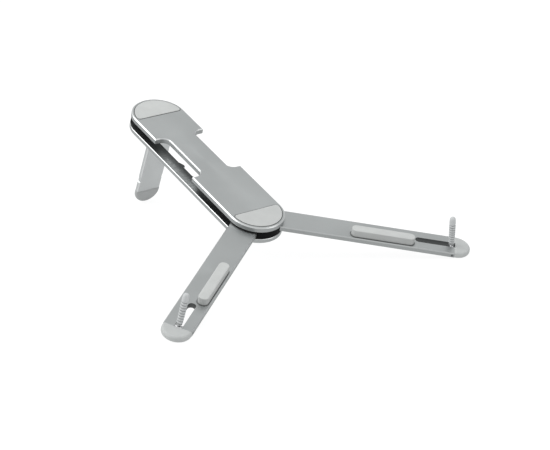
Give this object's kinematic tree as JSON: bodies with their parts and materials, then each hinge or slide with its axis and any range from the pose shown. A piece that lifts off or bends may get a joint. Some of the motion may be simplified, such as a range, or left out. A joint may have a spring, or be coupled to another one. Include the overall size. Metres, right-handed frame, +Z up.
{
  "type": "laptop stand",
  "caption": "Folding tripod laptop stand: flat two-plate body, swing-out front legs with rest pads and flip-up stop pins, and a fold-down rear leg.",
  "frame": {"origin": "middle of the footprint's bounding box, on the table plane under the open stand", "axes": "+X to the user's right, +Y to the rear, +Z up; the body rises towards +Y"},
  "size_m": [0.2776, 0.2548, 0.0878],
  "materials": {
    "plate_aluminium": "fine satin anodised, bright cut chamfers",
    "leg_aluminium": "fine satin anodised",
    "pad_silicone": "matt light grey silicone",
    "cap_silicone": "matt light grey silicone",
    "black_nylon": "matt black",
    "dark_polymer": "matt",
    "steel": "turned"
  },
  "bodies": {
    "body": {"top_plate": "plate_aluminium", "bottom_plate": "plate_aluminium", "front_pad": "pad_silicone", "rear_pad": "pad_silicone", "front_spacer": "black_nylon", "rear_spacer": "plate_aluminium", "pivot_posts": "steel", "pivot_screws": "steel", "spacer_screws": "steel", "friction_washers": "dark_polymer", "spring_washers": "steel", "swing_stops": "steel", "rear_axle": "steel"},
    "rear_leg_body": {"rear_leg": "leg_aluminium", "rear_foot_cap": "cap_silicone"},
    "left_leg_body": {"left_leg": "leg_aluminium", "left_hub_bush": "dark_polymer", "left_leg_pad": "pad_silicone", "left_foot_cap": "cap_silicone", "left_stop_axle": "steel", "left_stop_washers": "steel"},
    "right_leg_body": {"right_leg": "leg_aluminium", "right_hub_bush": "dark_polymer", "right_leg_pad": "pad_silicone", "right_foot_cap": "cap_silicone", "right_stop_axle": "steel", "right_stop_washers": "steel"},
    "left_pin_body": {"left_stop_core": "steel", "left_stop_sleeve": "cap_silicone"},
    "right_pin_body": {"right_stop_core": "steel", "right_stop_sleeve": "cap_silicone"}
  },
  "joints": [
    {"name": "right_leg_swing", "type": "hinge", "parent": "body", "child": "right_leg_body", "pos_m": [0.01125, -0.03597, 0.03078], "axis": [0, -0.3024, 0.9532], "range_deg": [0, 126]},
    {"name": "left_leg_swing", "type": "hinge", "parent": "body", "child": "left_leg_body", "pos_m": [-0.01125, -0.03597, 0.03078], "axis": [0, 0.3024, -0.9532], "range_deg": [0, 126]},
    {"name": "rear_leg_fold", "type": "hinge", "parent": "body", "child": "rear_leg_body", "pos_m": [0, 0.09594, 0.06738], "axis": [-1, 0, 0], "range_deg": [0, 96.4]},
    {"name": "right_pin_fold", "type": "hinge", "parent": "right_leg_body", "child": "right_pin_body", "pos_m": [0.125, -0.11474, 0.00579], "axis": [-0.5878, -0.7711, -0.2446], "range_deg": [0, 81.1]},
    {"name": "left_pin_fold", "type": "hinge", "parent": "left_leg_body", "child": "left_pin_body", "pos_m": [-0.125, -0.11474, 0.00579], "axis": [-0.5878, 0.7711, 0.2446], "range_deg": [0, 81.1]}
  ],
  "couplings": [
    {"joint": "right_pin_fold", "follows": "right_leg_swing", "ratio": 0.64365},
    {"joint": "left_pin_fold", "follows": "left_leg_swing", "ratio": 0.64365}
  ]
}
